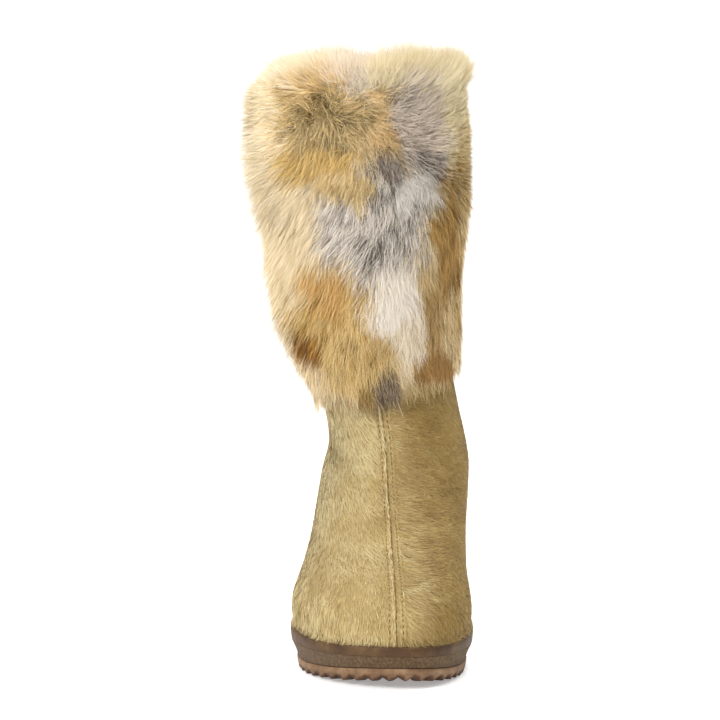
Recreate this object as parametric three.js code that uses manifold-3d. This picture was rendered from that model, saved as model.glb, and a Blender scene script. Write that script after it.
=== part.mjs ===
// Right-foot wedge boot: hair-on calf upper, patchwork fur cuff, rand, wedge midsole and lugged outsole.
// Millimetres, +Z up. The toe points to -Y, the medial (big toe) side is +X, and the sole rests on z = 0.
import * as THREE from "three";
import { mergeVertices } from "three/addons/utils/BufferGeometryUtils.js";
import Module from "manifold-3d";

const wasm = await Module();
wasm.setup();

// Driving sizes
const fitGap = 0.3; // left between pieces that touch
const upperWall = 2.4; // calf hide with its lining
const seamHalfWidth = 4.2; // raised band of the front seam
const seamRise = 0.6;
const seamTopRing = 8; // the band ends at this ring, under the cuff's fringe
const randThick = 1.5;
const outsoleThick = 7; // lugs included
const lugHeight = 3;
const lugRoot = 1.2; // how far a lug runs up into the plate
const insoleThick = 4;
const counterThick = 1.4;
const furDepth = 22; // pile of the cuff, before each side's share
const cuffGap = 1.7; // at the corners of the cuff's inside, so that its flats clear the round shaft
const collarRoll = 12; // the pile stands this far above the collar

// Rows of a table as objects, from the names of its columns.
function table(columns, rows) {
  return rows.map((row) => Object.fromEntries(columns.map((column, i) => [column, row[i]])));
}

// Outline of the last's feather edge, seen from above: a landmark for each turn of the outline.
// reachIn and reachOut are the lengths of the curve's handles before and after the landmark.
const edgeColumns = ["name", "x", "y", "dirX", "dirY", "reachIn", "reachOut"];
const medialEdge = table(edgeColumns, [
  ["toe tip", 8.6, -132.2, 1, -0.1, 0, 26],
  ["ball", 48.2, -62, 0, 1, 36, 30],
  ["waist", 39.5, 22, 0, 1, 30, 20],
  ["heel side", 39.5, 92, 0, 1, 22, 22],
  ["heel back", 4, 132.2, -1, 0, 20, 0],
]);
const lateralEdge = table(edgeColumns, [
  ["toe tip", 8.6, -132.2, -1, 0.1, 0, 32],
  ["ball", -52.2, -50, 0, 1, 44, 26],
  ["waist", -39, 30, 0.04, 1, 28, 18],
  ["heel side", -32.5, 92, 0, 1, 20, 22],
  ["heel back", 4, 132.2, 1, 0, 20, 0],
]);

// Side profile of the sole: tread line, midsole top (the last's seat) and rand height along the length.
const soleProfile = table(["name", "y", "tread", "seat", "rand"], [
  ["toe tip", -134, 5.2, 18.6, 5],
  ["toe", -106, 1.5, 17, 5.4],
  ["ball", -78, 0, 16.8, 6.4],
  ["tread edge", -28, 0, 19.6, 6.6],
  ["arch", 10, 2, 26, 7],
  ["heel front", 48, 0, 36, 7.4],
  ["heel seat", 92, 0, 44.5, 8],
  ["heel back", 134, 0, 46, 8],
]);

// Rings of the upper from the feather edge to the collar: the front and back points, the widest
// points, how far the ring has turned from the foot's outline to an oval, and the steps to the next.
const ringColumns = [
  "name", "frontY", "frontZ", "backY", "backZ", "frontX", "medial", "lateral", "oval", "steps",
];
const upperRings = table(ringColumns, [
  ["feather edge", -132.2, 19, 132.2, 46.3, 8.6, 48.2, -52.2, 0, 1],
  ["rand top", -132.2, 25.8, 132.4, 55, 8.6, 48.2, -52.2, 0, 2],
  ["toe rise", -128.2, 39, 133.5, 66, 8.3, 49.2, -53.4, 0.12, 2],
  ["toe top", -110, 52.5, 133, 78, 7.2, 47.8, -49.2, 0.3, 2],
  ["ball", -82, 64, 131, 88, 5.2, 47.8, -46, 0.5, 2],
  ["vamp", -53, 79, 128.5, 97, 3.2, 48.2, -43.8, 0.7, 2],
  ["instep", -27, 97, 126, 107, 1, 47.8, -41, 0.88, 2],
  ["ankle", -7, 119, 123.5, 119, -1, 44.8, -36.8, 1, 2],
  ["throat", 3, 143, 121.5, 139, -4, 39.8, -40, 1, 1],
  ["cuff seam", 6, 172, 120, 168, -6, 35.4, -43.4, 1, 1],
  ["low calf", 5, 215, 120, 212, -9, 34.5, -49, 1, 1],
  ["calf", 1, 262, 120.5, 260, -12, 37, -55, 1, 1],
  ["collar", -6, 326, 119, 330, -15, 37.5, -60, 1, 0],
]);

// Rows of the fur's outer face: place in the upper's rings, height added above it, share of the depth.
const cuffFace = table(["name", "ring", "above", "depth"], [
  ["fringe", 8.35, 0, 0.16],
  ["hem", 8.7, 0, 0.44],
  ["lower pile", 9.3, 0, 0.68],
  ["mid pile", 10.2, 0, 0.8],
  ["upper pile", 11.3, 0, 0.94],
  ["shoulder", 12, 0, 0.84],
  ["crest", 12, collarRoll, 0.4],
]);

// Rows of locks on the cuff: how many go round, rings and heights of root and tip, shares of the
// depth there, and the lock's width and thickness.
const lockColumns = [
  "name", "count", "root", "rootUp", "tip", "tipUp", "rootDepth", "tipDepth", "width", "thick",
];
const lockRows = table(lockColumns, [
  ["rim", 14, 12, -8, 12, 21, 0.5, 0.28, 25, 11],
  ["shoulder", 14, 12, 4, 11.3, 0, 0.58, 1.1, 26, 12],
  ["upper", 13, 11.6, 0, 10.7, 0, 0.66, 1.02, 27, 12],
  ["middle", 13, 10.9, 0, 9.9, 0, 0.58, 0.92, 26, 11],
  ["lower", 11, 10.1, 0, 9.0, 0, 0.5, 0.72, 26, 9],
  ["fringe", 12, 9.3, 0, 8.05, 0, 0.38, 0.3, 22, 7],
]);

// A lock from root to tip: places along it, and shares of its width and thickness there.
const lockSwell = table(["name", "along", "width", "thick", "lift"], [
  ["root", 0, 0.7, 0.6, 0],
  ["belly", 0.58, 1, 1, 0.2],
  ["tip", 1, 0.2, 0.24, 0],
]);

// Wall of the midsole from bottom to top: share of its height, and how far it stands out.
const midsoleWall = table(["name", "share", "outset"], [
  ["foot", 0, -2.3],
  ["lower lip", 0.36, -1.9],
  ["groove", 0.48, -1.5],
  ["flare", 0.82, 1],
  ["edge", 1, 1.5],
]);

// Heel counter: first and last ring of its skin, and its outline from the side.
const counterEdge = {
  lowRing: 1.06,
  topRing: 6.1,
  footY: 34,
  frontY: 43,
  frontZ: 66,
  bendY: 50,
  sideY: 78,
  sideZ: 98,
  backY: 140,
  backZ: 103,
};

// Lugs of the tread
const edgeLug = { pitch: 10.2, base: 9.9, tip: 4, depth: 10, outset: -2.5, tipInset: 1.5 };
const barLug = { width: 9, tip: 6, reach: 0.5, forefoot: [-92, -75, -58, -41], heel: [56, 73, 90, 107] };

// Places round a ring, as shares of a turn from the front over the medial side: closer together
// round toe and heel, and a few more at the front for the seam's raised band.
const ringPlaces = (() => {
  const perSide = 19;
  const crowding = 0.42;
  const side = [0.006];
  for (let i = 1; i < perSide; i++) {
    const share = i / (2 * perSide);
    side.push(share - (crowding / (4 * Math.PI)) * Math.sin(4 * Math.PI * share));
  }
  return [0, ...side, 0.5, ...side.map((s) => 1 - s).reverse()];
})();

const lerp = THREE.MathUtils.lerp;

// A column of a table at row number t, with no overshoot between rows.
function smoothColumn(rows, key, t) {
  const i = Math.min(Math.max(Math.floor(t), 0), rows.length - 2);
  const step = (k) => (k < 0 || k > rows.length - 2 ? 0 : rows[k + 1][key] - rows[k][key]);
  const slope = (k) => {
    const before = step(k - 1);
    const after = step(k);
    if (k === 0) return after;
    if (k === rows.length - 1) return before;
    return before * after <= 0 ? 0 : (2 * before * after) / (before + after);
  };
  const f = t - i;
  const a = rows[i][key];
  const b = rows[i + 1][key];
  const rise = f * f * (3 - 2 * f);
  return a + (b - a) * rise + slope(i) * f * (1 - f) * (1 - f) - slope(i + 1) * f * f * (1 - f);
}

// A column of the sole's side profile at a place along the length.
function alongSole(key, y) {
  const last = soleProfile.length - 1;
  const at = THREE.MathUtils.clamp(y, soleProfile[0].y, soleProfile[last].y);
  let i = 0;
  while (i < last - 1 && soleProfile[i + 1].y < at) i++;
  const share = (at - soleProfile[i].y) / (soleProfile[i + 1].y - soleProfile[i].y);
  return smoothColumn(soleProfile, key, i + share);
}

// Half of the feather edge from toe to heel as one path of cubic curves.
function edgePath(landmarks) {
  const path = new THREE.CurvePath();
  for (let i = 1; i < landmarks.length; i++) {
    const a = landmarks[i - 1];
    const b = landmarks[i];
    path.add(
      new THREE.CubicBezierCurve(
        new THREE.Vector2(a.x, a.y),
        new THREE.Vector2(a.x + a.dirX * a.reachOut, a.y + a.dirY * a.reachOut),
        new THREE.Vector2(b.x - b.dirX * b.reachIn, b.y - b.dirY * b.reachIn),
        new THREE.Vector2(b.x, b.y),
      ),
    );
  }
  return path;
}

const medialPath = edgePath(medialEdge);
const lateralPath = edgePath(lateralEdge);
const featherRing = upperRings[0];
const heelX = medialEdge[medialEdge.length - 1].x;

function outlinePoint(s) {
  const turn = ((s % 1) + 1) % 1;
  return turn <= 0.5 ? medialPath.getPoint(turn * 2) : lateralPath.getPoint((1 - turn) * 2);
}

// The foot's outline as shares of length (u, toe to heel) and of width (v, -1 lateral to 1 medial).
function footShares(s) {
  const p = outlinePoint(s);
  const u = (p.y - featherRing.frontY) / (featherRing.backY - featherRing.frontY);
  const axisX = lerp(featherRing.frontX, heelX, u);
  const v = p.x > axisX
    ? (p.x - axisX) / (featherRing.medial - axisX)
    : (p.x - axisX) / (axisX - featherRing.lateral);
  return { u, v };
}

function ovalShares(s) {
  const turn = 2 * Math.PI * s;
  return { u: (1 - Math.cos(turn)) / 2, v: Math.sin(turn) };
}

// The upper's outer face at turn s and ring number t.
function upperFace(s, t) {
  const at = (key) => smoothColumn(upperRings, key, t);
  const oval = at("oval");
  const foot = footShares(s);
  const round = ovalShares(s);
  const u = lerp(foot.u, round.u, oval);
  const v = lerp(foot.v, round.v, oval);
  const frontY = at("frontY");
  const backY = at("backY");
  const y = lerp(frontY, backY, u);
  const axisX = lerp(at("frontX"), heelX + at("frontX") * 0.5 * oval, u);
  const x = axisX + v * (v > 0 ? at("medial") - axisX : axisX - at("lateral"));
  const seatSag = alongSole("seat", y) - lerp(alongSole("seat", frontY), alongSole("seat", backY), u);
  const z = lerp(at("frontZ"), at("backZ"), u) + (1 - oval) * seatSag;
  return new THREE.Vector3(x, y, z);
}

// The outward normal of the upper's face, from points a little to each side.
function upperNormal(s, t) {
  const ds = 0.002;
  const dt = 0.02;
  const last = upperRings.length - 1;
  const low = Math.max(t - dt, 0);
  const high = Math.min(t + dt, last);
  const around = upperFace(s + ds, t).sub(upperFace(s - ds, t));
  const upward = upperFace(s, high).sub(upperFace(s, low));
  return around.cross(upward).normalize();
}

function offsetFace(s, t, distance) {
  return upperFace(s, t).addScaledVector(upperNormal(s, t), distance);
}

// A point of the feather edge moved out across the outline, with a height of its own.
function edgePoint(s, outset, height) {
  const p = outlinePoint(s);
  const d = outlinePoint(s + 0.002).sub(outlinePoint(s - 0.002)).normalize();
  const x = p.x + d.y * outset;
  const y = p.y - d.x * outset;
  return new THREE.Vector3(x, y, height(y));
}

function edgeRing(outset, height) {
  return ringPlaces.map((s) => edgePoint(s, outset, height));
}

// Triangles of a closed body from rings of equal length, with each four-sided patch split along its
// shorter diagonal, so that parallel faces split alike. A sleeve joins its last ring to its first, and
// any other body is capped by rungs from its medial to its lateral side.
function ringBody(rings, sleeve) {
  const n = rings[0].length;
  const half = n / 2;
  const points = rings.flat();
  const index = [];
  const bands = sleeve ? rings.length : rings.length - 1;
  for (let r = 0; r < bands; r++) {
    const low = r * n;
    const high = ((r + 1) % rings.length) * n;
    for (let j = 0; j < n; j++) {
      const k = (j + 1) % n;
      const [a, b, c, d] = [low + j, low + k, high + k, high + j];
      const rising = points[a].distanceTo(points[c]) <= points[b].distanceTo(points[d]);
      index.push(...(rising ? [a, b, c, a, c, d] : [a, b, d, b, c, d]));
    }
  }
  const cap = (start, up) => {
    const tri = (a, b, c) => index.push(start + a, start + (up ? b : c), start + (up ? c : b));
    tri(0, 1, n - 1);
    for (let i = 1; i < half - 1; i++) {
      tri(i, i + 1, n - i - 1);
      tri(i, n - i - 1, n - i);
    }
    tri(half - 1, half, half + 1);
  };
  if (!sleeve) {
    cap(0, false);
    cap((rings.length - 1) * n, true);
  }
  const geometry = new THREE.BufferGeometry();
  geometry.setFromPoints(points);
  geometry.setIndex(index);
  return geometry;
}

function toSolid(geometry) {
  const bare = geometry.clone();
  bare.deleteAttribute("normal");
  bare.deleteAttribute("uv");
  const merged = mergeVertices(bare, 1e-4);
  return new wasm.Manifold(
    new wasm.Mesh({
      numProp: 3,
      vertProperties: merged.attributes.position.array,
      triVerts: new Uint32Array(merged.index.array),
    }),
  );
}

function fromSolid(solid) {
  const mesh = solid.getMesh();
  const geometry = new THREE.BufferGeometry();
  geometry.setAttribute("position", new THREE.BufferAttribute(mesh.vertProperties, 3));
  geometry.setIndex(new THREE.BufferAttribute(mesh.triVerts, 1));
  return geometry;
}

function joined(geometries) {
  return fromSolid(geometries.map(toSolid).reduce((whole, piece) => whole.add(piece)));
}

// Ring numbers of the upper, with the steps that each row of the table asks for.
const ringNumbers = upperRings.flatMap((row, i) =>
  Array.from({ length: Math.max(row.steps, 1) }, (_, k) => i + k / Math.max(row.steps, 1)),
);

// Upper: one wall from the feather edge to the collar, open below and at the top, with a raised
// band along the seam that joins its two halves at the front.
function makeUpper() {
  const bandRise = (s, t) => {
    const aside = upperFace(s, t).distanceTo(upperFace(0, t));
    return aside < seamHalfWidth && t > 1 && t <= seamTopRing ? seamRise : 0;
  };
  const outer = ringNumbers.map((t) => ringPlaces.map((s) => offsetFace(s, t, bandRise(s, t))));
  const inner = ringNumbers.map((t) => ringPlaces.map((s) => offsetFace(s, t, -upperWall)));
  inner[0].forEach((p, j) => {
    p.z = outer[0][j].z;
  });
  return ringBody([...outer, ...inner.reverse()], true);
}

// Fur cuff: a sleeve round the shaft, deeper on the outer side, with locks fused to its face.
function pileShare(s) {
  const across = Math.sin(2 * Math.PI * s);
  return 0.8 - 0.4 * across + 0.04 * Math.sin(10 * Math.PI * s);
}

function cuffPoint(s, ring, above, depth) {
  const p = offsetFace(s, ring, cuffGap + depth * furDepth * pileShare(s));
  p.z += above;
  return p;
}

// One lock: its place, width and slant differ from its neighbours by a few sine steps.
function makeLock(row, k) {
  const stagger = lockRows.indexOf(row) % 2 ? 0.5 : 0;
  const s = (k + stagger + 0.16 * Math.sin(5 * k + 4 * row.root)) / row.count;
  const slant = 0.012 * Math.sin(7 * k + 3 * row.root);
  const spread = 1 + 0.2 * Math.sin(11 * k + 2);
  const reach = 1 + 0.18 * Math.sin(4 * k + 1);
  const root = cuffPoint(s, row.root, row.rootUp, row.rootDepth);
  const end = cuffPoint(s + slant, row.tip, row.tipUp, row.tipDepth);
  const tip = root.clone().lerp(end, reach);
  const out = upperNormal(s, Math.min(row.root, row.tip));
  const along = tip.clone().sub(root).normalize();
  const across = out.clone().cross(along).normalize();
  const rings = lockSwell.map((swell) => {
    const thick = row.thick * pileShare(s);
    const centre = root.clone().lerp(tip, swell.along).addScaledVector(out, swell.lift * thick);
    const w = (swell.width * row.width * spread) / 2;
    const h = (swell.thick * thick) / 2;
    const corner = (a, b) => centre.clone().addScaledVector(across, a * w).addScaledVector(out, b * h);
    return [corner(-1, 0), corner(0, -1), corner(1, 0), corner(0, 1)];
  });
  return ringBody(rings, false);
}

function makeCuff() {
  const places = ringPlaces.filter((_, i) => i % 2 === 0);
  const backing = ringNumbers.filter((t) => t > cuffFace[0].ring);
  const crest = cuffFace[cuffFace.length - 1];
  const face = cuffFace.map((row) => places.map((s) => cuffPoint(s, row.ring, row.above, row.depth)));
  const inside = [
    places.map((s) => cuffPoint(s, crest.ring, crest.above - 2, 0)),
    ...backing.reverse().map((t) => places.map((s) => cuffPoint(s, t, 0, 0))),
    places.map((s) => cuffPoint(s, cuffFace[0].ring, 0, 0)),
  ];
  const locks = lockRows.flatMap((row) => Array.from({ length: row.count }, (_, k) => makeLock(row, k)));
  return joined([ringBody([...face, ...inside], true), ...locks]);
}

// Heel counter: a dark overlay round the heel, cut from a skin over the upper by its side outline.
function makeCounter() {
  const { lowRing, topRing } = counterEdge;
  const rings = [lowRing, ...ringNumbers.filter((t) => t > lowRing && t < topRing)];
  const layer = (distance) => rings.map((t) => ringPlaces.map((s) => offsetFace(s, t, distance)));
  const skin = ringBody([...layer(fitGap + counterThick), ...layer(fitGap).reverse()], true);
  const side = new THREE.Shape();
  side.moveTo(counterEdge.footY, 0);
  side.lineTo(counterEdge.frontY, counterEdge.frontZ);
  side.quadraticCurveTo(counterEdge.bendY, counterEdge.sideZ, counterEdge.sideY, counterEdge.sideZ);
  side.lineTo(counterEdge.backY, counterEdge.backZ);
  side.lineTo(counterEdge.backY, 0);
  const cutter = new THREE.ExtrudeGeometry(side, { depth: 200, bevelEnabled: false, curveSegments: 6 });
  cutter.translate(0, 0, -100);
  const axes = [new THREE.Vector3(0, 1, 0), new THREE.Vector3(0, 0, 1), new THREE.Vector3(1, 0, 0)];
  cutter.applyMatrix4(new THREE.Matrix4().makeBasis(...axes));
  return fromSolid(toSolid(skin).intersect(toSolid(cutter)));
}

// Rand: a strip round the foot of the upper, standing on the midsole.
function makeRand() {
  const foot = (y) => alongSole("seat", y) + fitGap;
  const top = (y) => foot(y) + alongSole("rand", y);
  const inner = fitGap;
  const outer = fitGap + randThick;
  const rings = [
    edgeRing(outer, foot),
    edgeRing(outer, (y) => top(y) - 0.8),
    edgeRing(outer - 0.6, top),
    edgeRing(inner, top),
    edgeRing(inner, foot),
  ];
  return ringBody(rings, true);
}

// Midsole: the wedge under the foot, with its stepped and flared wall.
function makeMidsole() {
  const foot = (y) => alongSole("tread", y) + outsoleThick + fitGap;
  const height = (share) => (y) => lerp(foot(y), alongSole("seat", y), share);
  return ringBody(midsoleWall.map((row) => edgeRing(row.outset, height(row.share))), false);
}

function makeInsole() {
  const outset = -upperWall - fitGap;
  const foot = (y) => alongSole("seat", y) + fitGap;
  return ringBody([edgeRing(outset, foot), edgeRing(outset, (y) => foot(y) + insoleThick)], false);
}

// A lug between two rectangles, its corners lifted to the tread line where they lie.
function lugBody(baseCorners, tipCorners) {
  const lifted = (corners, height) =>
    corners.map((c) => new THREE.Vector3(c.x, c.y, alongSole("tread", c.y) + height));
  return ringBody([lifted(tipCorners, 0), lifted(baseCorners, lugHeight + lugRoot)], false);
}

// Lugs round the edge, with V-shaped gaps between them.
function edgeLugs() {
  const length = medialPath.getLength() + lateralPath.getLength();
  const count = Math.round(length / edgeLug.pitch);
  return Array.from({ length: count }, (_, k) => {
    const s = (k + 0.5) / count;
    const p = outlinePoint(s);
    const along = outlinePoint(s + 0.002).sub(outlinePoint(s - 0.002)).normalize();
    const outward = new THREE.Vector2(along.y, -along.x);
    const corners = (width, outset, inset) =>
      [[1, outset], [1, inset], [-1, inset], [-1, outset]].map(([side, across]) =>
        p.clone().addScaledVector(along, (side * width) / 2).addScaledVector(outward, across),
      );
    const inner = edgeLug.outset - edgeLug.depth;
    return lugBody(
      corners(edgeLug.base, edgeLug.outset, inner),
      corners(edgeLug.tip, edgeLug.outset - edgeLug.tipInset, inner + edgeLug.tipInset),
    );
  });
}

// Bars across the middle of the forefoot and heel.
function barLugs() {
  const sideAt = (path, y) => path.getSpacedPoints(200).find((p) => p.y >= y).x;
  return [...barLug.forefoot, ...barLug.heel].map((y) => {
    const medial = sideAt(medialPath, y);
    const lateral = sideAt(lateralPath, y);
    const centre = (medial + lateral) / 2;
    const reach = ((medial - lateral) / 2) * barLug.reach;
    const corners = (width, inset) => {
      const dx = reach - inset;
      return [[-dx, -1], [dx, -1], [dx, 1], [-dx, 1]].map(
        ([x, side]) => new THREE.Vector2(centre + x, y + (side * width) / 2),
      );
    };
    return lugBody(corners(barLug.width, 0), corners(barLug.tip, 1.5));
  });
}

// Outsole: a plate that follows the tread line, with lugs under it.
function makeOutsole() {
  const underside = (y) => alongSole("tread", y) + lugHeight;
  const top = (y) => alongSole("tread", y) + outsoleThick;
  const plate = ringBody([edgeRing(-2.2, underside), edgeRing(-1.9, top)], false);
  return joined([plate, ...edgeLugs(), ...barLugs()]);
}

// Colours are sRGB, as seen in daylight.
const finishes = {
  calfHair: new THREE.MeshStandardMaterial({ color: "#c3aa76", roughness: 0.75, metalness: 0 }),
  fur: new THREE.MeshStandardMaterial({ color: "#c9ad78", roughness: 0.95, metalness: 0 }),
  darkLeather: new THREE.MeshStandardMaterial({ color: "#5f4b3c", roughness: 0.6, metalness: 0 }),
  suedeWrap: new THREE.MeshStandardMaterial({ color: "#7b6853", roughness: 0.9, metalness: 0 }),
  rubber: new THREE.MeshStandardMaterial({ color: "#9b7b5f", roughness: 0.7, metalness: 0 }),
  felt: new THREE.MeshStandardMaterial({ color: "#d8cbb0", roughness: 0.95, metalness: 0 }),
};

function piece(name, geometry, material) {
  const mesh = new THREE.Mesh(geometry, material);
  mesh.name = name;
  return mesh;
}

const boot = new THREE.Group();
boot.add(
  piece("outsole", makeOutsole(), finishes.rubber),
  piece("midsole", makeMidsole(), finishes.suedeWrap),
  piece("rand", makeRand(), finishes.darkLeather),
  piece("insole", makeInsole(), finishes.felt),
  piece("upper", makeUpper(), finishes.calfHair),
  piece("heel_counter", makeCounter(), finishes.darkLeather),
  piece("fur_cuff", makeCuff(), finishes.fur),
);

// The origin is under the middle of the whole boot, on the floor.
const extent = new THREE.Box3().setFromObject(boot);
const middle = extent.getCenter(new THREE.Vector3());
boot.position.set(-middle.x, -middle.y, -extent.min.z);

export default boot;
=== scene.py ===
import math

import bpy
import numpy as np
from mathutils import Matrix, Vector, kdtree


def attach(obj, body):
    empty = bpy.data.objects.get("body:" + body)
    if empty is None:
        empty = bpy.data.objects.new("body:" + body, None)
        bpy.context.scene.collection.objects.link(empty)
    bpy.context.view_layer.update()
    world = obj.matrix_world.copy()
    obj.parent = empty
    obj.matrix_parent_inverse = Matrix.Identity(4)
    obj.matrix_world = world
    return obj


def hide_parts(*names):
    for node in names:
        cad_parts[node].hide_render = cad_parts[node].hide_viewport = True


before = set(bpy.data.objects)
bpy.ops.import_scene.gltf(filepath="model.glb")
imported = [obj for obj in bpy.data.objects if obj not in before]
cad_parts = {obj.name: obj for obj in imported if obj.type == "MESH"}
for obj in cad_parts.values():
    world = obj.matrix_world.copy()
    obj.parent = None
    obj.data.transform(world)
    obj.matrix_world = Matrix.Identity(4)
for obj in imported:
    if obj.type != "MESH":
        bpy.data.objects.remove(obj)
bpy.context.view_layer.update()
print("frame loaded:", ", ".join(sorted(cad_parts)))

# Everything is worked out in millimetres with the toe towards -Y and the big toe towards +X,
# and moved into the frame when a mesh is made. The back of the rand gives the move.
heelBack = (4, 134)  # x and y of the rand's back in these millimetres
randPoints = np.array([v.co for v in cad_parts["rand"].data.vertices]) * 1000
randBack = randPoints[randPoints[:, 1].argmax()]
frameShift = np.array([randBack[0] - heelBack[0], randBack[1] - heelBack[1], 0])


# The last: tables and surface

def readTable(names, rows):
    return dict(zip(names.split(), np.array(rows, float).T))


lastShape = {
    "heelX": 4,
    # landmarks of the feather edge: x y dirX dirY reachIn reachOut
    "medialEdge": [
        (8.6, -132.2, 1, -0.1, 0, 26),  # toe tip
        (48.2, -62, 0, 1, 36, 30),  # ball
        (39.5, 22, 0, 1, 30, 20),  # waist
        (39.5, 92, 0, 1, 22, 22),  # heel side
        (4, 132.2, -1, 0, 20, 0),  # heel back
    ],
    "lateralEdge": [
        (8.6, -132.2, -1, 0.1, 0, 32),
        (-52.2, -50, 0, 1, 44, 26),
        (-39, 30, 0.04, 1, 28, 18),
        (-32.5, 92, 0, 1, 20, 22),
        (4, 132.2, 1, 0, 20, 0),
    ],
    "sole": readTable("y tread seat rand", [
        (-134, 5.2, 18.6, 5),  # toe tip
        (-106, 1.5, 17, 5.4),  # toe
        (-78, 0, 16.8, 6.4),  # ball
        (-28, 0, 19.6, 6.6),  # tread edge
        (10, 2, 26, 7),  # arch
        (48, 0, 36, 7.4),  # heel front
        (92, 0, 44.5, 8),  # heel seat
        (134, 0, 46, 8),  # heel back
    ]),
    "rings": readTable("frontY frontZ backY backZ frontX medial lateral oval", [
        (-132.2, 19, 132.2, 46.3, 8.6, 48.2, -52.2, 0),  # 0 feather edge
        (-132.2, 25.8, 132.4, 55, 8.6, 48.2, -52.2, 0),  # 1 rand top
        (-128.2, 39, 133.5, 66, 8.3, 49.2, -53.4, 0.12),  # 2 toe rise
        (-110, 52.5, 133, 78, 7.2, 47.8, -49.2, 0.3),  # 3 toe top
        (-82, 64, 131, 88, 5.2, 47.8, -46, 0.5),  # 4 ball
        (-53, 79, 128.5, 97, 3.2, 48.2, -43.8, 0.7),  # 5 vamp
        (-27, 97, 126, 107, 1, 47.8, -41, 0.88),  # 6 instep
        (-7, 119, 123.5, 119, -1, 44.8, -36.8, 1),  # 7 ankle
        (3, 143, 121.5, 139, -4, 39.8, -40, 1),  # 8 throat
        (6, 172, 120, 168, -6, 35.4, -43.4, 1),  # 9 cuff seam
        (5, 215, 120, 212, -9, 34.5, -49, 1),  # 10 low calf
        (1, 262, 120.5, 260, -12, 37, -55, 1),  # 11 calf
        (-6, 326, 119, 330, -15, 37.5, -60, 1),  # 12 collar
    ]),
}
lastRing = 12
turnStep, ringStep = 0.002, 0.02  # small moves round and up the last, for slopes


def mix(a, b, share):
    return a + (b - a) * share


def smoothStep(low, high, value):
    f = np.clip((value - low) / (high - low), 0, 1)
    return f * f * (3 - 2 * f)


def bell(value, width):
    return np.exp(-(value / width) ** 2)


def unit(v):
    return v / np.maximum(np.linalg.norm(v, axis=-1, keepdims=True), 1e-9)


def runLength(points):
    # length along a row of points, from its start
    return np.concatenate(([0], np.cumsum(np.linalg.norm(np.diff(points, axis=0), axis=1))))


def rowsAt(at, places, rows):
    return np.stack([np.interp(at, places, column) for column in rows.T], -1)


def nearLine(turn, t, ends, span):
    # share along a line between two places given by turn and ring, and distance from it in mm
    p, a, b = [np.stack(place, -1) * np.array(span) for place in ((turn, t), ends[:2], ends[2:])]
    run = b - a
    share = np.clip(((p - a) @ run) / (run @ run), 0, 1)
    return share, np.linalg.norm(p - (a + share[..., None] * run), axis=-1)


def turnedBy(angle, start, end):
    return start * np.cos(angle) + end * np.sin(angle)


def smoothColumn(values, t):
    # a column at row number t, with no overshoot between rows
    step = np.diff(values)
    before = np.concatenate((step[:1], step))
    after = np.concatenate((step, step[-1:]))
    total = before + after
    slope = np.where(before * after > 0, 2 * before * after / np.where(total == 0, 1, total), 0)
    t = np.clip(t, 0, len(values) - 1)
    i = np.clip(np.floor(t).astype(int), 0, len(values) - 2)
    f = t - i
    rise = f * f * (3 - 2 * f)
    return values[i] + step[i] * rise + slope[i] * f * (1 - f) ** 2 - slope[i + 1] * f * f * (1 - f)


def alongSole(key, y):
    places = lastShape["sole"]["y"]
    return smoothColumn(lastShape["sole"][key], np.interp(y, places, np.arange(len(places))))


def edgePath(landmarks):
    # points along one half of the feather edge, their share of its length, and that length
    f = np.linspace(0, 1, 200)[:, None]
    points = []
    for a, b in zip(landmarks[:-1], landmarks[1:]):
        p0, p3 = np.array(a[:2]), np.array(b[:2])
        p1 = p0 + np.array(a[2:4]) * a[5]
        p2 = p3 - np.array(b[2:4]) * b[4]
        points.append((1 - f) ** 3 * p0 + 3 * f * (1 - f) ** 2 * p1 + 3 * f * f * (1 - f) * p2 + f ** 3 * p3)
    points = np.concatenate(points)
    length = runLength(points)
    return points, length / length[-1], length[-1]


medialPath = edgePath(lastShape["medialEdge"])
lateralPath = edgePath(lastShape["lateralEdge"])


def signedTurn(s):
    return np.mod(s + 0.5, 1) - 0.5  # from the front seam, positive on the medial side


def sideShares(s):
    # how far a place lies towards the medial and the lateral side, 0 to 1
    swing = np.sin(2 * np.pi * s)
    return np.clip(swing, 0, 1), np.clip(-swing, 0, 1)


def outlinePoint(s):
    # s goes round from the front seam over the medial side, 0 to 1
    turn = np.mod(s, 1)
    medial = rowsAt(turn * 2, medialPath[1], medialPath[0])
    lateral = rowsAt(2 - turn * 2, lateralPath[1], lateralPath[0])
    return np.where((turn <= 0.5)[..., None], medial, lateral)


def edgeRun(s):
    return unit(outlinePoint(s + turnStep) - outlinePoint(s - turnStep))


def edgePoint(s, outset, height):
    p, run = outlinePoint(s), edgeRun(s)
    x = p[..., 0] + run[..., 1] * outset
    y = p[..., 1] - run[..., 0] * outset
    return np.stack([x, y, height(y) + 0 * x], -1)


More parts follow.
